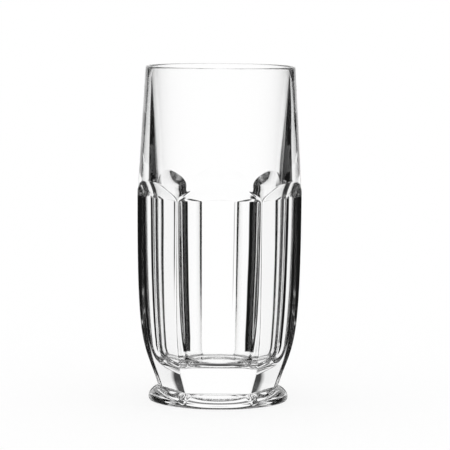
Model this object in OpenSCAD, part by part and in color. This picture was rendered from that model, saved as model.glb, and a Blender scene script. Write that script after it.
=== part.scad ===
// Highball glass of clear pressed glass: a round flaring mouth, six hollow-faced panels with
// arched heads on a thick barrel-shaped body, and a six-lobed foot. All lengths are in mm.
// The foot stands on z = 0, +Z is up along the axis, and panel 0 faces -Y.

/* [Overall] */
// Height from the table to the rim
glass_height = 145; // [125:1:165]
// Outside diameter at the rim
rim_diameter = 64.8; // [63:0.1:67]
// Thickness of the wall at the rim
rim_wall = 1.9; // [1.4:0.1:2.6]

/* [Upper wall] */
// Height at which the panels' ridges start
shoulder_height = 95; // [88:1:102]
// Outside diameter of the smooth wall at the shoulder
shoulder_diameter = 70.5; // [69:0.1:72]
// How far the ridges stand out from the smooth wall
ridge_rise = 0.35; // [0.2:0.05:0.8]
// Height over which the ridges fade into the smooth wall
ridge_fade = 5; // [3:0.5:8]

/* [Panels] */
// Number of panels, and of the foot's lobes under them
panel_count = 6; // [6, 8]
// Distance from the axis to the middle of a panel, at its head
panel_reach = 30.65; // [30:0.05:31.4]
// Distance from the axis to the middle of a panel, at the waist
panel_waist_reach = 22.8; // [21:0.1:23.5]
// Radius of the hollow across each panel
panel_hollow_radius = 320; // [160:10:400]
// Length of the scoop at a panel's arched head
scoop_length = 13; // [11:0.5:18]

/* [Waist and foot] */
// Height of the waist, where the body meets the foot
waist_height = 5.7; // [5:0.1:7]
// Diameter across the ridges at the waist
waist_diameter = 52.2; // [50:0.1:54]
// Diameter of the foot at its widest line
foot_diameter = 60.7; // [58:0.1:64]
// Height of the foot's widest line above the table
foot_belly_height = 1.9; // [1.2:0.1:2.4]
// Angles on the foot's swelling where it meets its widest line and its waist
foot_swell_low_angle = 20; // [0:1:40]
foot_swell_high_angle = 70; // [55:1:85]
// Width of the rounding under the foot's widest line
foot_under_edge = 0.4; // [0.2:0.1:1.6]
// Radius of the groove between two lobes
groove_radius = 3.6; // [2.6:0.1:4.4]
// Tilt of the grooves from upright
groove_tilt = 45; // [40:1:50]

/* [Inside] */
// Thickness of the solid bottom under the cavity
bottom_thickness = 17.2; // [13:0.1:20]
// Diameter of the cavity where its wall turns in to the floor
cavity_foot_diameter = 48.6; // [46:0.1:50]
// Height of the turn from the cavity's wall to its floor
cavity_turn = 9; // [6:0.5:12]
// Diameter of the dished hollow under the foot
underside_diameter = 44; // [36:1:48]
// Depth of the dished hollow under the foot
underside_depth = 3; // [1:0.1:4]

/* [Hidden] */
// Overrun of every cut past the surface it opens
overrun = 3;
// Points along each curve of an outline
curve_steps = 10;
// Points along each rounded edge of an outline
edge_steps = 6;
// Facets of the display mesh round each turned shape
$fn = 180;

rim_radius = rim_diameter / 2;
shoulder_radius = shoulder_diameter / 2;
ridge_radius = shoulder_radius + ridge_rise;
waist_radius = waist_diameter / 2;
quarter_turn = 90;
panel_angle = 360 / panel_count;
cutter_offset = panel_reach + panel_hollow_radius;
// Turn of the cutter that clears the glass on both sides of its panel
cutter_angle = 2 * atan((ridge_radius + overrun) / panel_hollow_radius);
foot_radius = foot_diameter / 2;
// Flat ledge of the foot round the waist
waist_ledge = 0.15;
// Depth of the flat step that a panel cuts into the top of its lobe
lobe_step = 0.15;
// How far outside the waist each groove starts
groove_start = 0.2;

// How far the barrel's curve is drawn down from its head and up from its waist
belly_draw_share = 0.845;
waist_draw_share = 0.237;
// How far the waist's tangent leans out for each unit of its height
waist_lean_share = 0.318;
// How the curve of the cavity's wall is drawn from its rim and from its foot, across and up
cavity_rim_draw_shares = [0.25, 0.52];
cavity_foot_draw_shares = [0.65, 0.36];

// A point on the curve through a and d that leaves towards b and arrives from c
function curve_point(a, b, c, d, t) =
    pow(1 - t, 3) * a + 3 * pow(1 - t, 2) * t * b + 3 * (1 - t) * pow(t, 2) * c + pow(t, 3) * d;

// Points along a curve, without its last one, where the next stretch starts
function curve(a, b, c, d) =
    [for (i = [0 : curve_steps - 1]) curve_point(a, b, c, d, i / curve_steps)];

// Points of an elliptic arc about a centre, from one angle to another, without its first point
function arc(centre, half_width, half_height, from, to) = [
    for (i = [1 : edge_steps])
        let (angle = from + (to - from) * i / edge_steps)
            centre + [half_width * cos(angle), half_height * sin(angle)]
];

// Outline of the barrel from its head down to the waist, at a given distance at each end
function barrel_outline(head_reach, foot_reach, head_height) =
    let (
        drop = head_height - waist_height,
        low = waist_draw_share * drop
    )
    curve(
        [head_reach, head_height],
        [head_reach, head_height - belly_draw_share * drop],
        [foot_reach + waist_lean_share * low, waist_height + low],
        [foot_reach, waist_height]
    );

// The lip is half round, so that the wall ends in a smooth bead
function lip_outline() =
    arc([rim_radius - rim_wall / 2, glass_height - rim_wall / 2], rim_wall / 2, rim_wall / 2, 180, 0);

function outside_outline() = concat(
    lip_outline(),
    [[shoulder_radius, shoulder_height]],
    barrel_outline(ridge_radius, waist_radius, shoulder_height - ridge_fade),
    [[waist_radius, waist_height]],
    foot_outline()
);

// The foot swells from the waist to its widest line, and turns under to its resting ring
function foot_outline() =
    let (
        low = foot_swell_low_angle,
        high = foot_swell_high_angle,
        ledge = [waist_radius + waist_ledge, waist_height],
        swell = (foot_radius - ledge[0]) / (cos(low) - cos(high)),
        rise = (waist_height - foot_belly_height) / (sin(high) - sin(low)),
        centre = [foot_radius - swell * cos(low), foot_belly_height - rise * sin(low)]
    )
    concat(
        [ledge],
        arc(centre, swell, rise, high, low),
        arc([foot_radius - foot_under_edge, foot_belly_height], foot_under_edge, foot_belly_height,
            0, -quarter_turn)
    );

// The cavity's wall tapers in a shallow curve and turns in to a flat floor
function inside_outline() =
    let (
        wall_top = [rim_radius - rim_wall, glass_height - rim_wall / 2],
        wall_foot = [cavity_foot_diameter / 2, bottom_thickness + cavity_turn],
        taper = wall_top - wall_foot
    )
    concat(
        curve(
            [wall_foot[0] - cavity_turn, bottom_thickness],
            [wall_foot[0] - cavity_turn / 6, bottom_thickness],
            wall_foot - [0, cavity_turn / 2],
            wall_foot
        ),
        curve(
            wall_foot,
            wall_foot + [for (i = [0, 1]) cavity_foot_draw_shares[i] * taper[i]],
            wall_foot + [for (i = [0, 1]) cavity_rim_draw_shares[i] * taper[i]],
            wall_top
        ),
        [wall_top]
    );

// Everything outside one panel's face, turned about an axis well in front of the glass. It ends
// just under the waist, which leaves each lobe a small flat step in front of its panel.
module panel_cutter() {
    head_height = shoulder_height - scoop_length / 2;
    scoop_reach = ridge_radius + overrun;
    nearest = cutter_offset - scoop_reach - overrun;
    face = concat(
        curve(
            [scoop_reach, head_height + scoop_length],
            [scoop_reach - scoop_length / 3, head_height + scoop_length / 2],
            [panel_reach, head_height + scoop_length / 6],
            [panel_reach, head_height]
        ),
        barrel_outline(panel_reach, panel_waist_reach, head_height),
        [[panel_waist_reach, waist_height - lobe_step]]
    );
    translate([0, -cutter_offset, 0])
        rotate([0, 0, quarter_turn - cutter_angle / 2])
            rotate_extrude(angle = cutter_angle)
                polygon(concat(
                    [[nearest, waist_height - lobe_step], [nearest, head_height + scoop_length]],
                    [for (point = face) [cutter_offset - point[0], point[1]]]
                ));
}

// Every second panel's cutter, because cutters that touch each other can't share one cut
module every_second_cutter(first) {
    for (i = [first : 2 : panel_count - 1])
        rotate([0, 0, i * panel_angle])
            panel_cutter();
}

module turned_blank() {
    rotate_extrude()
        polygon(concat([[0, 0], [0, bottom_thickness]], inside_outline(), outside_outline()));
}

module panelled_blank() {
    difference() {
        difference() {
            turned_blank();
            every_second_cutter(0);
        }
        every_second_cutter(1);
    }
}

// Each groove runs down the foot from the end of a ridge, and parts two lobes
module lobe_grooves() {
    start = waist_radius + groove_start;
    for (i = [0 : panel_count - 1])
        rotate([0, 0, (i + 0.5) * panel_angle])
            translate([0, -start, waist_height])
                rotate([quarter_turn + groove_tilt, 0, 0])
                    translate([0, groove_radius, 0])
                        cylinder(h = foot_radius, r = groove_radius);
}

// The hollow is part of a ball, so that the glass rests on the ring round it
module underside_hollow() {
    dish_radius = (pow(underside_diameter / 2, 2) + pow(underside_depth, 2)) / (2 * underside_depth);
    translate([0, 0, underside_depth - dish_radius])
        sphere(dish_radius);
}

module tumbler() {
    color([0.9, 0.93, 0.94, 0.5])
        difference() {
            panelled_blank();
            lobe_grooves();
            underside_hollow();
        }
}

tumbler();
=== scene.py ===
"""Looks of a highball glass of clear pressed glass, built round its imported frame.

The glass is one piece. Its wall is turned from an outline, six panels are cut into it, and six
grooves part the lobes of its foot. The glass is drawn in millimetres until it reaches Blender,
and the studio round it in metres.
"""

import logging
import math
from dataclasses import dataclass, field
from enum import Enum

import bpy
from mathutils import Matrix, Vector

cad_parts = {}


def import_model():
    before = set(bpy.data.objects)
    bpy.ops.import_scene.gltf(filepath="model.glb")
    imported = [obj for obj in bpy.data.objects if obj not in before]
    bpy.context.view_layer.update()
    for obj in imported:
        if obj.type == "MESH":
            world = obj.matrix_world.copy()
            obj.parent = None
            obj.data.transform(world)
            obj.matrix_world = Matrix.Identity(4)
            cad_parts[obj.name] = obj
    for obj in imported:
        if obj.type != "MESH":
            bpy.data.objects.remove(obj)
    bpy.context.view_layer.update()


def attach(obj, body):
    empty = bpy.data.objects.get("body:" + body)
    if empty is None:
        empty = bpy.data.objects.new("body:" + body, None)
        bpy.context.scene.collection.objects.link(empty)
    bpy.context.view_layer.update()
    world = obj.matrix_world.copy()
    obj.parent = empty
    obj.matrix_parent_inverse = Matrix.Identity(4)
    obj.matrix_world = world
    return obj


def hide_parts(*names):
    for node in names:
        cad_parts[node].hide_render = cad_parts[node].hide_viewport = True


MM = 0.001
log = logging.getLogger("highball")

Point = tuple[float, float]
Socket = bpy.types.NodeSocket


def linear(hex_colour: str) -> tuple[float, float, float, float]:
    """Turn an sRGB hex colour into linear red, green, blue and alpha.

    Args:
        hex_colour: Six hex digits, such as "F4F6F5".

    Returns:
        The linear colour, with an alpha of 1.
    """
    parts = [int(hex_colour[i:i + 2], 16) / 255 for i in (0, 2, 4)]
    red, green, blue = (c / 12.92 if c <= 0.04045 else ((c + 0.055) / 1.055) ** 2.4 for c in parts)
    return red, green, blue, 1.0


def add_node(tree: bpy.types.NodeTree, kind: str, inputs: dict | None = None,
             **settings: object) -> bpy.types.Node:
    """Add a node, set its properties, and set or link its inputs.

    Args:
        tree: The tree that gets the node.
        kind: The node's type name.
        inputs: Input name or index, to the value to set or the output socket to link.
        settings: Properties of the node itself.

    Returns:
        The new node.
    """
    node = tree.nodes.new(kind)
    for name, value in settings.items():
        setattr(node, name, value)
    for key, value in (inputs or {}).items():
        socket = node.inputs[key]
        if isinstance(value, Socket):
            tree.links.new(value, socket)
        else:
            socket.default_value = value
    return node


class Calculator:
    """Writes sums on numbers and sockets into a tree."""

    def __init__(self, tree: bpy.types.NodeTree) -> None:
        """Keep the tree that the sums are written into."""
        self.tree = tree

    def do(self, operation: str, *values: float | Socket) -> Socket:
        """Write one step of a sum.

        Args:
            operation: What to do, as a Math node names it.
            values: Up to three numbers or sockets.

        Returns:
            The result.
        """
        inputs = dict(enumerate(values))
        return add_node(self.tree, "ShaderNodeMath", inputs, operation=operation).outputs[0]


def spaced(start: float, end: float, steps: int) -> list[float]:
    """Evenly spaced numbers from start to end, without start itself."""
    return [start + (end - start) * i / steps for i in range(1, steps + 1)]


def line_points(a: Point, b: Point, steps: int) -> list[Point]:
    """Evenly spaced points from a to b, without a itself."""
    return list(zip(spaced(a[0], b[0], steps), spaced(a[1], b[1], steps)))


def arc_points(centre: Point, half_width: float, half_height: float, start: float, end: float,
               steps: int) -> list[Point]:
    """Points along an arc of an ellipse, without its first point.

    Args:
        centre: Centre of the ellipse.
        half_width: Half its width.
        half_height: Half its height.
        start: Angle that the arc starts from, in degrees.
        end: Angle that it ends at, in degrees.
        steps: Number of points.

    Returns:
        The points, in order.
    """
    angles = [math.radians(degrees) for degrees in spaced(start, end, steps)]
    return [(centre[0] + half_width * math.cos(angle), centre[1] + half_height * math.sin(angle))
            for angle in angles]


def curve_points(a: Point, b: Point, c: Point, d: Point, steps: int) -> list[Point]:
    """Points along a smooth curve, without its first point.

    Args:
        a: Where the curve starts.
        b: What it leaves a towards.
        c: What it comes to d from.
        d: Where it ends.
        steps: Number of points.

    Returns:
        The points, in order.
    """
    points = []
    for i in range(1, steps + 1):
        t = i / steps
        shares = ((1 - t) ** 3, 3 * (1 - t) ** 2 * t, 3 * (1 - t) * t ** 2, t ** 3)
        points.append(tuple(sum(share * point[axis] for share, point in zip(shares, (a, b, c, d)))
                            for axis in (0, 1)))
    return points


def reach_at(outline: list[Point], height: float) -> float:
    """Find an outline's reach at a height, between its two nearest points.

    Args:
        outline: Reach and height of each point, in any order.
        height: The height to look at.

    Returns:
        The reach there, or that of the nearest end above or below the outline.
    """
    ordered = sorted(outline, key=lambda point: point[1])
    if height <= ordered[0][1]:
        return ordered[0][0]
    for low, high in zip(ordered, ordered[1:]):
        if low[1] < height <= high[1]:
            share = (height - low[1]) / (high[1] - low[1])
            return low[0] + share * (high[0] - low[0])
    return ordered[-1][0]


class Stretch(Enum):
    """How a stretch of the outline meets the cutters, as its row's two shares."""

    PLAIN = (0.0, 0.0)
    PANELLED = (1.0, 0.0)
    GROOVED = (0.0, 1.0)


@dataclass(frozen=True)
class OutlineRow:
    """One ring of the turned outline, in millimetres.

    A share says how much of a cutter's cut the ring takes, from 0 to 1.
    """

    reach: float
    height: float
    panel_reach: float
    panel_share: float
    groove_share: float


@dataclass(frozen=True)
class OutlineSteps:
    """How many steps each stretch of the outline is drawn in, in the order that it is drawn."""

    panel_face: int = 60
    underside: int = 9
    resting_ring: int = 5
    foot_belly: int = 8
    foot_swell: int = 24
    ledge: int = 7
    blank: int = 200
    # The barrel's first row lies this far above the waist in mm, and each of the next ones so
    # many times as far as the one before it.
    waist: int = 7
    waist_first: float = 0.12
    waist_growth: float = 1.45
    barrel: int = 56
    scoops: int = 44
    ridge_fade: int = 16
    scooped_wall: int = 26
    upper_wall: int = 12
    lip: int = 14
    cavity_wall: int = 36
    cavity_corner: int = 18
    cavity_floor: int = 6


class TurningTree:
    """Geometry Nodes that turn one panel's share of the glass, cut it and repeat it round.

    The share is a grid with a row for each ring of the outline. It runs from one ridge over the
    middle of a panel to the next ridge.
    """

    COUNTS = ("Panel Count", "Columns")
    SIZES = ("Cutter Offset", "Edge Softness", "Groove Radius", "Groove Foot", "Waist Height")
    # Columns lie closer together at the ridges. This much of their places follows a sine, and
    # the rest is even.
    CROWDING = 0.8
    # Beyond its own sides the groove's cutter climbs this steeply, clear of the lobes.
    CUTTER_CLIMB = 10.0
    # Neighbouring shares meet on the ridges, and points this close there are one, in mm.
    JOINING_DISTANCE = 0.002

    def __init__(self) -> None:
        """Open the tree with its named inputs. Its sizes are in metres."""
        self.tree = bpy.data.node_groups.new("turn_and_cut", "GeometryNodeTree")
        face = self.tree.interface
        face.new_socket("Outline", in_out="INPUT", socket_type="NodeSocketGeometry")
        for name in self.COUNTS:
            face.new_socket(name, in_out="INPUT", socket_type="NodeSocketInt")
        for name in self.SIZES:
            face.new_socket(name, in_out="INPUT", socket_type="NodeSocketFloat")
        face.new_socket("Material", in_out="INPUT", socket_type="NodeSocketMaterial")
        face.new_socket("Glass", in_out="OUTPUT", socket_type="NodeSocketGeometry")
        self.given = add_node(self.tree, "NodeGroupInput").outputs
        self.calc = Calculator(self.tree)
        self.half_angle = self.calc.do("DIVIDE", math.pi, self.given["Panel Count"])
        self.place = add_node(self.tree, "GeometryNodeInputPosition").outputs[0]

    def lay_grid(self) -> tuple[Socket, Socket, Socket]:
        """Lay out the share as a flat grid.

        Returns:
            The grid, each point's place across it from -1 to 1, and its row.
        """
        calc = self.calc
        outline = {"Geometry": self.given["Outline"]}
        row_count = add_node(self.tree, "GeometryNodeAttributeDomainSize", outline).outputs[0]
        grid = add_node(self.tree, "GeometryNodeMeshGrid", {
            "Size X": 2.0,
            "Size Y": 1.0,
            "Vertices X": calc.do("ADD", self.given["Columns"], 1.0),
            "Vertices Y": row_count,
        }).outputs[0]
        across, along = add_node(self.tree, "ShaderNodeSeparateXYZ", {0: self.place}).outputs[:2]
        from_start = calc.do("ADD", along, 0.5)
        last_row = calc.do("SUBTRACT", row_count, 1.0)
        row = calc.do("ROUND", calc.do("MULTIPLY", from_start, last_row))
        return grid, across, row

    def at_row(self, row: Socket, value: Socket, kind: str) -> Socket:
        """Read a value of the outline at a row.

        Args:
            row: The row's number.
            value: The value as it stands on the outline.
            kind: Its data type.

        Returns:
            The value at the row.
        """
        inputs = {"Geometry": self.given["Outline"], "Value": value, "Index": row}
        return add_node(self.tree, "GeometryNodeSampleIndex", inputs, data_type=kind).outputs[0]

    def stored(self, row: Socket, name: str) -> Socket:
        """Read a value that is stored on the outline's points at a row.

        Args:
            row: The row's number.
            name: The name that the value is stored under.

        Returns:
            The value at the row.
        """
        value = add_node(self.tree, "GeometryNodeInputNamedAttribute", {"Name": name},
                         data_type="FLOAT").outputs[0]
        return self.at_row(row, value, "FLOAT")

    def turn_of(self, across: Socket) -> Socket:
        """Find the angle round the axis that a place across the grid is turned to.

        Args:
            across: The place, from -1 at one ridge to 1 at the other.

        Returns:
            The angle from the panel's middle.
        """
        calc = self.calc
        crowded = calc.do("SINE", calc.do("MULTIPLY", across, math.pi / 2))
        spread = calc.do("ADD", calc.do("MULTIPLY", crowded, self.CROWDING),
                         calc.do("MULTIPLY", across, 1.0 - self.CROWDING))
        return calc.do("MULTIPLY", spread, self.half_angle)

    def cut_panel(self, row: Socket, reach: Socket, turn: Socket) -> Socket:
        """Cut the panel into the turned wall.

        The cutter is a large drum that stands upright beside the glass, so the panel's face has
        a very shallow hollow across it.

        Args:
            row: The point's row.
            reach: The wall's reach there.
            turn: The point's angle from the panel's middle.

        Returns:
            The reach after the cut.
        """
        calc, offset = self.calc, self.given["Cutter Offset"]
        drum_radius = calc.do("SUBTRACT", offset, self.stored(row, "panel_reach"))
        sideways = calc.do("MULTIPLY", offset, calc.do("SINE", turn))
        inwards = calc.do("SUBTRACT", calc.do("POWER", drum_radius, 2.0),
                          calc.do("POWER", sideways, 2.0))
        face_reach = calc.do("SUBTRACT", calc.do("MULTIPLY", offset, calc.do("COSINE", turn)),
                             calc.do("SQRT", calc.do("MAXIMUM", inwards, 0.0)))
        cut_reach = calc.do("SMOOTH_MIN", reach, face_reach, self.given["Edge Softness"])
        return add_node(self.tree, "ShaderNodeMix", {
            0: self.stored(row, "panel_share"), 2: reach, 3: cut_reach}).outputs[0]

    def cut_groove(self, row: Socket, reach: Socket, height: Socket, turn: Socket) -> Socket:
        """Cut the groove under the ridge, which parts two lobes of the foot.

        The groove is a round channel that runs outwards and down at 45 degrees.

        Args:
            row: The point's row.
            reach: The wall's reach there.
            height: The point's height.
            turn: The point's angle from the panel's middle.

        Returns:
            The reach after the cut.
        """
        calc, radius = self.calc, self.given["Groove Radius"]
        from_ridge = calc.do("SUBTRACT", self.half_angle, calc.do("ABSOLUTE", turn))
        aside = calc.do("MULTIPLY", reach, calc.do("SINE", from_ridge))
        inwards = calc.do("SUBTRACT", calc.do("POWER", radius, 2.0),
                          calc.do("POWER", aside, 2.0))
        rise = calc.do("SUBTRACT", radius, calc.do("SQRT", calc.do("MAXIMUM", inwards, 0.0)))
        beyond = calc.do("SUBTRACT", calc.do("ABSOLUTE", aside), radius)
        climb = calc.do("MULTIPLY", calc.do("MAXIMUM", beyond, 0.0), self.CUTTER_CLIMB)
        rise = calc.do("ADD", rise, climb)
        below_waist = calc.do("SUBTRACT", self.given["Waist Height"], height)
        floor_reach = calc.do("ADD", self.given["Groove Foot"],
                              calc.do("MULTIPLY", rise, math.sqrt(2)))
        floor_reach = calc.do("ADD", floor_reach, below_waist)
        floor_reach = calc.do("DIVIDE", floor_reach, calc.do("COSINE", from_ridge))
        cut_reach = calc.do("SMOOTH_MIN", reach, floor_reach, self.given["Edge Softness"])
        return add_node(self.tree, "ShaderNodeMix", {
            0: self.stored(row, "groove_share"), 2: reach, 3: cut_reach}).outputs[0]

    def repeat(self, share: Socket) -> Socket:
        """Set the share round the axis, once for each panel, and join the shares.

        Args:
            share: The finished share.

        Returns:
            The whole glass, in its material.
        """
        calc = self.calc
        centres = add_node(self.tree, "GeometryNodeMeshLine", {
            "Count": self.given["Panel Count"], "Offset": (0.0, 0.0, 0.0)}).outputs[0]
        index = add_node(self.tree, "GeometryNodeInputIndex").outputs[0]
        step = calc.do("MULTIPLY", index, calc.do("MULTIPLY", self.half_angle, 2.0))
        rotation = add_node(self.tree, "ShaderNodeCombineXYZ", {2: step}).outputs[0]
        shares = add_node(self.tree, "GeometryNodeInstanceOnPoints", {
            "Points": centres, "Instance": share, "Rotation": rotation}).outputs[0]
        whole = add_node(self.tree, "GeometryNodeRealizeInstances", {0: shares}).outputs[0]
        joined = add_node(self.tree, "GeometryNodeMergeByDistance", {
            "Geometry": whole, "Distance": self.JOINING_DISTANCE * MM}).outputs[0]
        smooth = add_node(self.tree, "GeometryNodeSetShadeSmooth", {"Geometry": joined}).outputs[0]
        return add_node(self.tree, "GeometryNodeSetMaterial", {
            "Geometry": smooth, "Material": self.given["Material"]}).outputs[0]

    def build(self) -> bpy.types.GeometryNodeTree:
        """Write the whole tree.

        Returns:
            The tree, from the outline to the glass.
        """
        calc = self.calc
        grid, across, row = self.lay_grid()
        on_outline = add_node(self.tree, "ShaderNodeSeparateXYZ", {
            0: self.at_row(row, self.place, "FLOAT_VECTOR")}).outputs
        reach, height = on_outline[0], on_outline[2]
        turn = self.turn_of(across)
        reach = self.cut_panel(row, reach, turn)
        reach = self.cut_groove(row, reach, height, turn)
        forwards = calc.do("MULTIPLY", reach, calc.do("COSINE", turn))
        turned = add_node(self.tree, "ShaderNodeCombineXYZ", {
            0: calc.do("MULTIPLY", reach, calc.do("SINE", turn)),
            1: calc.do("MULTIPLY", forwards, -1.0),
            2: height,
        }).outputs[0]
        share = add_node(self.tree, "GeometryNodeSetPosition", {
            "Geometry": grid, "Position": turned}).outputs[0]
        add_node(self.tree, "NodeGroupOutput", {"Glass": self.repeat(share)})
        return self.tree


@dataclass
class Tumbler:
    """The pressed glass itself, from its resting ring to its lip."""

    height: float = 145.0
    rim_radius: float = 32.4
    rim_wall: float = 1.9
    # The shoulder. The ridges stand a little proud of it, and fade into it over their last part.
    shoulder_height: float = 95.0
    shoulder_radius: float = 35.25
    ridge_rise: float = 0.35
    ridge_fade: float = 5.0
    # The panels. Each is cut by a large drum and runs out through the shoulder in a scoop.
    panel_count: int = 6
    panel_reach: float = 30.65
    panel_waist_reach: float = 22.8
    panel_hollow_radius: float = 320.0
    scoop_length: float = 13.0
    # The waist and the foot below it, whose side swells out and turns in to the resting ring.
    waist_height: float = 5.7
    waist_radius: float = 26.1
    foot_radius: float = 30.35
    foot_belly_height: float = 1.9
    foot_swell_angles: Point = (20.0, 70.0)
    foot_under_edge: float = 0.4
    groove_radius: float = 3.6
    groove_start: float = 0.2
    # The solid bottom, with the cavity over it and a shallow hollow under it.
    bottom_thickness: float = 17.2
    cavity_foot_radius: float = 24.3
    cavity_turn: float = 9.0
    underside_radius: float = 22.0
    underside_depth: float = 3.0
    # The barrel's curve: how far it keeps upright below its head and leans out above its waist,
    # as shares of its height, and how far it leans there for each millimetre of rise.
    belly_draw_share: float = 0.845
    waist_draw_share: float = 0.237
    waist_lean_share: float = 0.318
    # The cavity's curve: what it leaves the lip towards and comes to its foot from, as shares of
    # the way out and up from its foot to the lip.
    cavity_top_draw_shares: Point = (0.25, 0.52)
    cavity_foot_draw_shares: Point = (0.65, 0.36)
    # What the mould and the flame leave: a ledge and a dip over the lobes, and soft edges.
    waist_ledge: float = 0.15
    lobe_step: float = 0.15
    edge_softness: float = 0.5
    # How fine the mesh is, and how far the panels' cutter runs out past the ridges.
    columns_per_panel: int = 48
    steps: OutlineSteps = OutlineSteps()
    overrun: float = 3.0
    # The panel's face and the whole outline, drawn by draw_outline.
    face: list[Point] = field(default_factory=list)
    rows: list[OutlineRow] = field(default_factory=list)

    @property
    def ridge_radius(self) -> float:
        """Radius over the ridges at their heads."""
        return self.shoulder_radius + self.ridge_rise

    @property
    def resting_reach(self) -> float:
        """Reach of the ring that the glass rests on, at its outer edge."""
        return self.foot_radius - self.foot_under_edge

    @property
    def lip_height(self) -> float:
        """Height at which the lip starts to round over."""
        return self.height - self.rim_wall / 2

    def barrel(self, head_reach: float, foot_reach: float, head_height: float,
               steps: int) -> list[Point]:
        """Outline of the barrel from its waist up to its head.

        Args:
            head_reach: Reach at the head.
            foot_reach: Reach at the waist.
            head_height: Height of the head.
            steps: Number of steps along the curve.

        Returns:
            The points, from the waist upwards.
        """
        drop = head_height - self.waist_height
        low = self.waist_draw_share * drop
        waist = (foot_reach, self.waist_height)
        return [waist] + curve_points(
            waist,
            (foot_reach + self.waist_lean_share * low, self.waist_height + low),
            (head_reach, head_height - self.belly_draw_share * drop),
            (head_reach, head_height),
            steps,
        )

    def panel_face(self) -> list[Point]:
        """Outline of a panel's face, from the waist up to where its scoop has left the glass.

        Returns:
            The points, from the waist upwards.
        """
        head_height = self.shoulder_height - self.scoop_length / 2
        scoop_reach = self.ridge_radius + self.overrun
        steps = self.steps.panel_face
        face = self.barrel(self.panel_reach, self.panel_waist_reach, head_height, steps)
        return face + curve_points(
            (self.panel_reach, head_height),
            (self.panel_reach, head_height + self.scoop_length / 6),
            (scoop_reach - self.scoop_length / 3, head_height + self.scoop_length / 2),
            (scoop_reach, head_height + self.scoop_length),
            steps,
        )

    def add_rows(self, points: list[Point], stretch: Stretch) -> None:
        """Add a stretch of the outline, with the panel's reach at each height.

        Args:
            points: Reach and height of each ring.
            stretch: How the stretch meets the cutters.
        """
        panel_share, groove_share = stretch.value
        for reach, height in points:
            panel_reach = reach_at(self.face, height) if panel_share else self.ridge_radius
            self.rows.append(OutlineRow(reach, height, panel_reach, panel_share, groove_share))

    def draw_outline(self) -> None:
        """Draw the outline, from under the foot, over the lip, to the middle of the cavity."""
        self.face = self.panel_face()
        self.add_underside()
        self.add_foot()
        self.add_ledge()
        self.add_barrel()
        self.add_mouth()
        self.add_rows(self.cavity_points(), Stretch.PLAIN)

    def add_underside(self) -> None:
        """Add the hollow under the foot, and the flat ring round it that the glass rests on."""
        width, depth = self.underside_radius, self.underside_depth
        dish_radius = (width ** 2 + depth ** 2) / (2 * depth)
        half = math.degrees(math.asin(width / dish_radius))
        dish = arc_points((0.0, depth - dish_radius), dish_radius, dish_radius, 90, 90 - half,
                          self.steps.underside)
        self.add_rows([(0.0, depth)] + dish, Stretch.PLAIN)
        self.add_rows(line_points((width, 0.0), (self.resting_reach, 0.0),
                                  self.steps.resting_ring), Stretch.PLAIN)

    def add_foot(self) -> None:
        """Add the foot's side, from the resting ring round its belly and in to the waist."""
        belly = arc_points((self.resting_reach, self.foot_belly_height), self.foot_under_edge,
                           self.foot_belly_height, -90, 0, self.steps.foot_belly)
        self.add_rows(belly, Stretch.GROOVED)
        low, high = (math.radians(angle) for angle in self.foot_swell_angles)
        swell = self.foot_radius - self.waist_radius - self.waist_ledge
        swell /= math.cos(low) - math.cos(high)
        rise = (self.waist_height - self.foot_belly_height) / (math.sin(high) - math.sin(low))
        centre = (self.foot_radius - swell * math.cos(low),
                  self.foot_belly_height - rise * math.sin(low))
        side = arc_points(centre, swell, rise, *self.foot_swell_angles, self.steps.foot_swell)
        self.add_rows(side + [(self.waist_radius, self.waist_height)], Stretch.GROOVED)

    def add_ledge(self) -> None:
        """Add the rows over the lobes, where the glass draws in to the panels."""
        steps = self.steps.ledge
        for i in range(1, steps + 1):
            share = i / steps
            height = self.waist_height - self.lobe_step * math.sin(math.pi * share)
            self.rows.append(OutlineRow(self.waist_radius, height, self.panel_waist_reach,
                                        share, 1.0 - share))

    def add_barrel(self) -> None:
        """Add the barrel, as it is before its panels are cut, and the ridges' fade."""
        ridge_head = self.shoulder_height - self.ridge_fade
        blank = self.barrel(self.ridge_radius, self.waist_radius, ridge_head, self.steps.blank)
        body = [(reach_at(blank, height), height) for height in self.barrel_heights(ridge_head)]
        self.add_rows(body, Stretch.PANELLED)
        half_fade = self.ridge_fade / 2
        fade = curve_points((self.ridge_radius, ridge_head),
                            (self.ridge_radius, ridge_head + half_fade),
                            (self.shoulder_radius, self.shoulder_height - half_fade),
                            (self.shoulder_radius, self.shoulder_height),
                            self.steps.ridge_fade)
        self.add_rows(fade, Stretch.PANELLED)

    def barrel_heights(self, ridge_head: float) -> list[float]:
        """Heights of the barrel's rows: close at the waist and at the panels' heads.

        Args:
            ridge_head: Height at which the ridges start to fade.

        Returns:
            The heights, from the waist upwards.
        """
        steps = self.steps
        scoop_start = self.shoulder_height - self.scoop_length
        heights = [self.waist_height + steps.waist_first * steps.waist_growth ** i
                   for i in range(steps.waist)]
        heights += spaced(heights[-1], scoop_start, steps.barrel)
        return heights + spaced(scoop_start, ridge_head, steps.scoops)

    def add_mouth(self) -> None:
        """Add the upper wall, from the shoulder past the scoops' ends, and the lip over it."""
        shoulder = (self.shoulder_radius, self.shoulder_height)
        scoop_end = self.shoulder_height + self.scoop_length / 2
        taper = (self.rim_radius - self.shoulder_radius) / (self.lip_height - self.shoulder_height)
        scoop_top = (self.shoulder_radius + taper * (scoop_end - self.shoulder_height), scoop_end)
        self.add_rows(line_points(shoulder, scoop_top, self.steps.scooped_wall), Stretch.PANELLED)
        self.add_rows(line_points(scoop_top, (self.rim_radius, self.lip_height),
                                  self.steps.upper_wall), Stretch.PLAIN)
        half_wall = self.rim_wall / 2
        lip_centre = (self.rim_radius - half_wall, self.lip_height)
        self.add_rows(arc_points(lip_centre, half_wall, half_wall, 0, 180, self.steps.lip),
                      Stretch.PLAIN)

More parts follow.
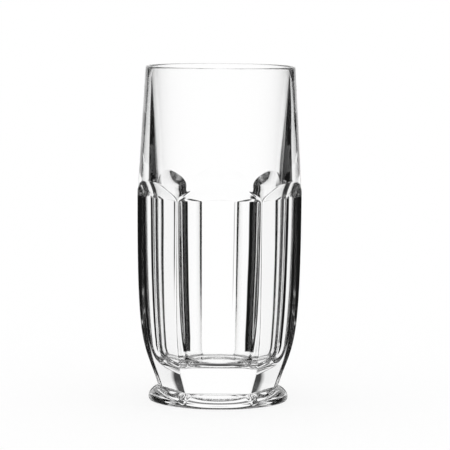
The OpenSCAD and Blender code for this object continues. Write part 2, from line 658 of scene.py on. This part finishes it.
    def cavity_points(self) -> list[Point]:
        """Outline of the cavity, from the lip down its wall and round to its flat floor.

        Returns:
            The points, from the lip to the middle of the floor.
        """
        turn, floor = self.cavity_turn, self.bottom_thickness
        top = (self.rim_radius - self.rim_wall, self.lip_height)
        foot = (self.cavity_foot_radius, floor + turn)
        upper, lower = (
            (foot[0] + shares[0] * (top[0] - foot[0]), foot[1] + shares[1] * (top[1] - foot[1]))
            for shares in (self.cavity_top_draw_shares, self.cavity_foot_draw_shares)
        )
        floor_edge = (foot[0] - turn, floor)
        points = curve_points(top, upper, lower, foot, self.steps.cavity_wall)
        points += curve_points(foot, (foot[0], foot[1] - turn / 2), (foot[0] - turn / 6, floor),
                               floor_edge, self.steps.cavity_corner)
        return points + line_points(floor_edge, (0.0, floor), self.steps.cavity_floor)

    def outline_object(self) -> bpy.types.Object:
        """Make the outline a chain of points that carries what the cutters need.

        Returns:
            The chain, in the scene.
        """
        mesh = bpy.data.meshes.new("tumbler_outline")
        mesh.from_pydata([(row.reach * MM, 0.0, row.height * MM) for row in self.rows],
                         [(i, i + 1) for i in range(len(self.rows) - 1)], [])
        stored = {
            "panel_reach": [row.panel_reach * MM for row in self.rows],
            "panel_share": [row.panel_share for row in self.rows],
            "groove_share": [row.groove_share for row in self.rows],
        }
        for name, values in stored.items():
            mesh.attributes.new(name, "FLOAT", "POINT").data.foreach_set("value", values)
        outline = bpy.data.objects.new("tumbler_outline", mesh)
        bpy.context.scene.collection.objects.link(outline)
        return outline

    def build(self, material: bpy.types.Material) -> bpy.types.Object:
        """Turn, cut and finish the glass.

        Args:
            material: The clear glass.

        Returns:
            The finished piece, a plain mesh at the origin.
        """
        self.draw_outline()
        outline = self.outline_object()
        modifier = outline.modifiers.new("turn_and_cut", "NODES")
        tree = TurningTree().build()
        modifier.node_group = tree
        values = {
            "Panel Count": self.panel_count,
            "Columns": self.columns_per_panel,
            "Cutter Offset": (self.panel_reach + self.panel_hollow_radius) * MM,
            "Edge Softness": self.edge_softness * MM,
            "Groove Radius": self.groove_radius * MM,
            "Groove Foot": (self.waist_radius + self.groove_start) * MM,
            "Waist Height": self.waist_height * MM,
            "Material": material,
        }
        for socket in tree.interface.items_tree:
            if socket.in_out == "INPUT" and socket.name in values:
                modifier[socket.identifier] = values[socket.name]
        evaluated = outline.evaluated_get(bpy.context.evaluated_depsgraph_get())
        mesh = bpy.data.meshes.new_from_object(evaluated)
        mesh.name = "pressed_glass"
        # The tree leaves an empty slot in front of the glass's own. The piece needs just the one.
        mesh.materials.clear()
        mesh.materials.append(material)
        bpy.data.objects.remove(outline)
        glass = bpy.data.objects.new("pressed_glass", mesh)
        bpy.context.scene.collection.objects.link(glass)
        return glass


@dataclass(frozen=True)
class ClearGlass:
    """Clear soda-lime glass, pressed in a mould and fire-polished.

    To the eye it has no colour of its own: it shows its edges, ridges and foot as sharp dark
    lines of bent light. The mould's chill leaves faint, tall ripples in its faces, too shallow
    to see except where they bend those lines, and the flame melts away every finer mark.
    """

    name: str = "clear soda-lime glass"
    tint: str = "FFFFFF"
    ior: float = 1.52
    roughness: float = 0.0
    clearness: float = 1.0
    # Black takes away the faint reflection in a face seen straight on, and the light it would
    # cost, which the photograph's clipped whites don't show. The bright one at a low angle stays.
    sheen_at_right_angles: str = "000000"
    ripple_width_mm: float = 14.0
    ripple_length_mm: float = 32.0
    ripple_depth_mm: float = 0.12
    # Finer ripples ride on these: how many sizes of them, and how strong they are beside these.
    finer_ripples: float = 1.0
    finer_ripple_share: float = 0.3

    def build(self) -> bpy.types.Material:
        """Make the glass material.

        Returns:
            The material, with its ripples on Object coordinates.
        """
        material = bpy.data.materials.new(self.name)
        material.use_nodes = True
        tree = material.node_tree
        shader = tree.nodes["Principled BSDF"]
        shader.inputs["Base Color"].default_value = linear(self.tint)
        shader.inputs["Roughness"].default_value = self.roughness
        shader.inputs["IOR"].default_value = self.ior
        shader.inputs["Transmission Weight"].default_value = self.clearness
        shader.inputs["Specular Tint"].default_value = linear(self.sheen_at_right_angles)
        place = add_node(tree, "ShaderNodeTexCoord").outputs["Object"]
        across = 1 / (self.ripple_width_mm * MM)
        along = 1 / (self.ripple_length_mm * MM)
        in_ripples = add_node(tree, "ShaderNodeMapping", {
            "Vector": place, "Scale": (across, across, along)}).outputs[0]
        ripples = add_node(tree, "ShaderNodeTexNoise", {
            "Vector": in_ripples,
            "Scale": 1.0,
            "Detail": self.finer_ripples,
            "Roughness": self.finer_ripple_share,
        }).outputs[0]
        bump = add_node(tree, "ShaderNodeBump", {
            "Strength": 1.0, "Distance": self.ripple_depth_mm * MM, "Height": ripples}).outputs[0]
        tree.links.new(bump, shader.inputs["Normal"])
        return material


def met_glass(tree: bpy.types.NodeTree) -> Socket:
    """Tell whether light was bent or bounced by the glass on its way here.

    Args:
        tree: The tree that gets the nodes.

    Returns:
        1 where it was, and 0 in the open.
    """
    path = add_node(tree, "ShaderNodeLightPath").outputs
    return Calculator(tree).do("MAXIMUM", path["Is Glossy Ray"], path["Is Transmission Ray"])


@dataclass(frozen=True)
class Direction:
    """A direction from the glass into the studio, as sockets.

    The angle is from straight behind the glass, the same way to both sides, and the lift is up
    from level. The last is 1 for what lies to the right, and 0 for what lies to the left.
    """

    angle: Socket
    lift: Socket
    on_right: Socket


# Edges past every direction, for a card that has no edge on that side.
NO_INNER_EDGE = -9.0
NO_OUTER_EDGE = 200.0
NO_BOTTOM = -100.0
NO_TOP = 100.0


@dataclass(frozen=True)
class Card:
    """A dark card in the studio, or a pair of them, by the degrees that it fills from the glass.

    It stands on both sides, from an inner edge near straight behind the glass out to an outer
    edge. Only the inner edge may differ from left to right. Lifts go up from level. An edge
    fades over twice its softness.
    """

    left_edge: float = NO_INNER_EDGE
    right_edge: float = NO_INNER_EDGE
    outer_edge: float = NO_OUTER_EDGE
    bottom: float = NO_BOTTOM
    top: float = NO_TOP
    shade: float = 1.0
    softness: float = 1.5
    lift_softness: float = 1.5

    def share(self, tree: bpy.types.NodeTree, direction: Direction) -> Socket:
        """Find how far a direction lies behind the card.

        Args:
            tree: The tree that gets the nodes.
            direction: The direction to look in.

        Returns:
            0 clear of the card, to its shade behind it.
        """
        def past(value: Socket, edge: float, softness: float, before: float = 0.0,
                 after: float = 1.0) -> Socket:
            """Change from one number to another as an angle passes an edge.

            Args:
                value: The angle.
                edge: The edge, in degrees.
                softness: Degrees on either side of the edge that the change takes.
                before: The number short of the edge.
                after: The number past it.

            Returns:
                The number at the angle.
            """
            return add_node(tree, "ShaderNodeMapRange", {
                0: value,
                1: math.radians(edge - softness),
                2: math.radians(edge + softness),
                3: before,
                4: after,
            }).outputs[0]

        angle, lift = direction.angle, direction.lift
        inside = add_node(tree, "ShaderNodeMix", {
            0: direction.on_right,
            2: past(angle, self.left_edge, self.softness),
            3: past(angle, self.right_edge, self.softness),
        }).outputs[0]
        outside = past(angle, self.outer_edge, self.softness, self.shade, 0.0)
        over = past(lift, self.bottom, self.lift_softness)
        under = past(lift, self.top, self.lift_softness, 1.0, 0.0)
        calc = Calculator(tree)
        share = calc.do("MULTIPLY", inside, outside)
        return calc.do("MULTIPLY", calc.do("MULTIPLY", share, over), under)


@dataclass
class Studio:
    """A white sweep, lit from behind, with dark cards at its sides, as bright-field work has.

    The cards are met only by light that the glass sends there, so the sweep is white in the
    open. Light that bounced inside the glass meets other cards than light that was only bent,
    which no real studio can do. That stands in for the photograph's own cards, and keeps the
    panels' faces as white as its clipped whites.
    """

    white: str = "FFFFFF"
    card: str = "161616"
    bent_light_cards: tuple[Card, ...] = (
        # Gives the pillars their dark cores.
        Card(left_edge=34.0, right_edge=27.0, outer_edge=66.0, bottom=-17.5, top=9.0,
             lift_softness=3.5),
        # Darkens the two corners of the solid bottom, above the foot.
        Card(left_edge=44.8, right_edge=44.8, outer_edge=66.0, bottom=8.0, top=30.0, shade=0.94,
             softness=1.0, lift_softness=5.0),
        # Stands in front, and does the pillars' work for whoever looks from behind.
        Card(left_edge=114.0, right_edge=114.0, outer_edge=147.0, bottom=-4.0, top=8.0,
             softness=6.0, lift_softness=6.0),
    )
    bounced_light_cards: tuple[Card, ...] = (
        # The first darkens the glass's sides, and the third its arched heads and its foot.
        # Between them the second leaves a gap, which keeps a dark streak off the bottom.
        Card(left_edge=33.0, right_edge=29.0, top=1.0, lift_softness=0.8),
        Card(left_edge=46.5, right_edge=46.5, bottom=1.0, top=6.5, lift_softness=0.8),
        Card(left_edge=33.0, right_edge=29.0, bottom=6.5, top=60.0, lift_softness=0.8),
        # Hangs high at the back, and darkens the front of the foot.
        Card(outer_edge=31.0, bottom=45.0, shade=0.95, softness=5.0, lift_softness=5.0),
        # Lies all round below, and deepens the lines over the foot.
        Card(top=-45.0, shade=0.95, softness=5.0, lift_softness=5.0),
    )
    floor_shadow_share: float = 0.22
    floor_half: float = 3.0
    # A hair below the foot, so that floor and glass aren't in one plane.
    floor_gap: float = 0.00005
    # A ring of painted shade on the floor where the foot stands: a grey glow in place of the
    # contact shadow, seen only through the glass.
    painted_contact_shade: str = "909090"
    painted_shade_ring: Point = (0.0215, 0.031)
    painted_shade_fade: float = 0.004
    camera_distance: float = 1.071
    camera_height: float = 0.183
    # The photograph's frame: its width in pixels, the size of a pixel at the glass, and the
    # pixel that the aim on the glass's axis falls on.
    image_width: float = 450.0
    scale_mm_per_pixel: float = 0.4342
    aim_column: float = 219.3
    aim_row: float = 233.1
    aim_height: float = 0.0725
    roll_degrees: float = 0.45
    light_bounces: int = 32

    def behind(self, cards: tuple[Card, ...], tree: bpy.types.NodeTree,
               direction: Direction) -> Socket:
        """Find how far a direction lies behind any of some cards.

        Args:
            cards: The cards.
            tree: The tree that gets the nodes.
            direction: The direction to look in.

        Returns:
            0 clear of all cards, to 1 behind a full one.
        """
        calc = Calculator(tree)
        share = cards[0].share(tree, direction)
        for card in cards[1:]:
            share = calc.do("MAXIMUM", share, card.share(tree, direction))
        return share

    def card_share(self, tree: bpy.types.NodeTree, vector: Socket) -> Socket:
        """Find how far a direction from the glass lies behind the cards that its light meets.

        Args:
            tree: The tree that gets the nodes.
            vector: The direction, as a vector that points away from the glass.

        Returns:
            0 in front of the white sweep, to 1 behind the cards.
        """
        calc = Calculator(tree)
        x, y, z = add_node(tree, "ShaderNodeSeparateXYZ", {0: vector}).outputs[:3]
        direction = Direction(
            angle=calc.do("ARCTAN2", calc.do("ABSOLUTE", x), y),
            lift=calc.do("ARCSINE", z),
            on_right=calc.do("GREATER_THAN", x, 0.0),
        )
        path = add_node(tree, "ShaderNodeLightPath").outputs
        share = add_node(tree, "ShaderNodeMix", {
            0: calc.do("MINIMUM", path["Glossy Depth"], 1.0),
            2: self.behind(self.bent_light_cards, tree, direction),
            3: self.behind(self.bounced_light_cards, tree, direction),
        }).outputs[0]
        return calc.do("MULTIPLY", share, met_glass(tree))

    def light_world(self) -> None:
        """Set the world to the white sweep with its dark cards."""
        world = bpy.data.worlds.new("white sweep")
        world.use_nodes = True
        tree = world.node_tree
        direction = add_node(tree, "ShaderNodeTexCoord").outputs["Generated"]
        colour = add_node(tree, "ShaderNodeMix", {
            0: self.card_share(tree, direction),
            6: linear(self.white),
            7: linear(self.card),
        }, data_type="RGBA").outputs[2]
        tree.links.new(colour, tree.nodes["Background"].inputs["Color"])
        bpy.context.scene.world = world

    def painted_shade_share(self, tree: bpy.types.NodeTree) -> Socket:
        """Find how far a place on the floor lies in the ring of painted shade under the foot.

        Args:
            tree: The tree that gets the nodes.

        Returns:
            1 in the ring, fading to 0 within it and round it.
        """
        inner, outer = self.painted_shade_ring
        place = add_node(tree, "ShaderNodeNewGeometry").outputs["Position"]
        from_axis = add_node(tree, "ShaderNodeVectorMath", {0: place},
                             operation="LENGTH").outputs["Value"]
        outside_inner = add_node(tree, "ShaderNodeMapRange", {
            0: from_axis, 1: inner - self.painted_shade_fade, 2: inner}).outputs[0]
        inside_outer = add_node(tree, "ShaderNodeMapRange", {
            0: from_axis, 1: outer, 2: outer + self.painted_shade_fade, 3: 1.0, 4: 0.0}).outputs[0]
        return Calculator(tree).do("MULTIPLY", outside_inner, inside_outer)

    def floor_sheet(self) -> bpy.types.Material:
        """Make the floor's material, a lit white sheet.

        In the open it glows white and keeps a little of the glass's shadow. The glass sees through
        it to the sweep beyond, apart from a ring of painted shade under the foot, a grey glow.

        Returns:
            The material.
        """
        material = bpy.data.materials.new("white acrylic sheet")
        material.use_nodes = True
        tree = material.node_tree
        tree.nodes.clear()
        lit = add_node(tree, "ShaderNodeEmission", {"Color": linear(self.white)})
        plain = add_node(tree, "ShaderNodeBsdfDiffuse", {"Color": linear(self.white)})
        sheet = add_node(tree, "ShaderNodeMixShader", {
            0: self.floor_shadow_share, 1: lit.outputs[0], 2: plain.outputs[0]})
        clear = add_node(tree, "ShaderNodeBsdfTransparent")
        # Painted shade: a grey glow that stands in for the foot's contact shadow on the floor.
        painted_shade_glow = add_node(tree, "ShaderNodeEmission", {"Color": linear(self.painted_contact_shade)})
        through_glass = add_node(tree, "ShaderNodeMixShader", {
            0: self.painted_shade_share(tree), 1: clear.outputs[0], 2: painted_shade_glow.outputs[0]})
        shader = add_node(tree, "ShaderNodeMixShader", {
            0: met_glass(tree), 1: sheet.outputs[0], 2: through_glass.outputs[0]})
        add_node(tree, "ShaderNodeOutputMaterial", {"Surface": shader.outputs[0]})
        return material

    def build_floor(self) -> None:
        """Lay the sweep's floor."""
        half = self.floor_half
        corners = ((-half, -half), (half, -half), (half, half), (-half, half))
        mesh = bpy.data.meshes.new("sweep_floor")
        mesh.from_pydata([(x, y, -self.floor_gap) for x, y in corners], [], [(0, 1, 2, 3)])
        mesh.materials.append(self.floor_sheet())
        floor = bpy.data.objects.new("sweep_floor", mesh)
        bpy.context.scene.collection.objects.link(floor)

    def place_camera(self) -> None:
        """Put the camera where the photograph's was."""
        camera = bpy.data.cameras.new("camera")
        aim_distance = math.hypot(self.camera_distance, self.camera_height - self.aim_height)
        frame_width = self.image_width * self.scale_mm_per_pixel * MM
        camera.lens = camera.sensor_width * aim_distance / frame_width
        camera.shift_x = (self.image_width / 2 - self.aim_column) / self.image_width
        camera.shift_y = (self.aim_row - self.image_width / 2) / self.image_width
        body = bpy.data.objects.new("camera", camera)
        bpy.context.scene.collection.objects.link(body)
        place = Vector((0.0, -self.camera_distance, self.camera_height))
        aim = Vector((0.0, 0.0, self.aim_height))
        body.location = place
        body.rotation_euler = (aim - place).to_track_quat("-Z", "Y").to_euler()
        body.rotation_euler.rotate_axis("Z", math.radians(self.roll_degrees))
        bpy.context.scene.camera = body

    def build(self) -> None:
        """Build the sweep, its light and the camera."""
        self.light_world()
        self.build_floor()
        self.place_camera()
        scene = bpy.context.scene
        scene.view_settings.view_transform = "Standard"
        scene.cycles.max_bounces = self.light_bounces
        scene.cycles.glossy_bounces = self.light_bounces
        scene.cycles.transmission_bounces = self.light_bounces


def main() -> None:
    """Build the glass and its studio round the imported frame."""
    logging.basicConfig(level=logging.INFO, format="%(name)s: %(message)s")
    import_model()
    glass = Tumbler().build(ClearGlass().build())
    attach(glass, "root")
    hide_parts("tumbler")
    log.info("pressed_glass: %d faces", len(glass.data.polygons))
    Studio().build()


if __name__ == "__main__":
    main()
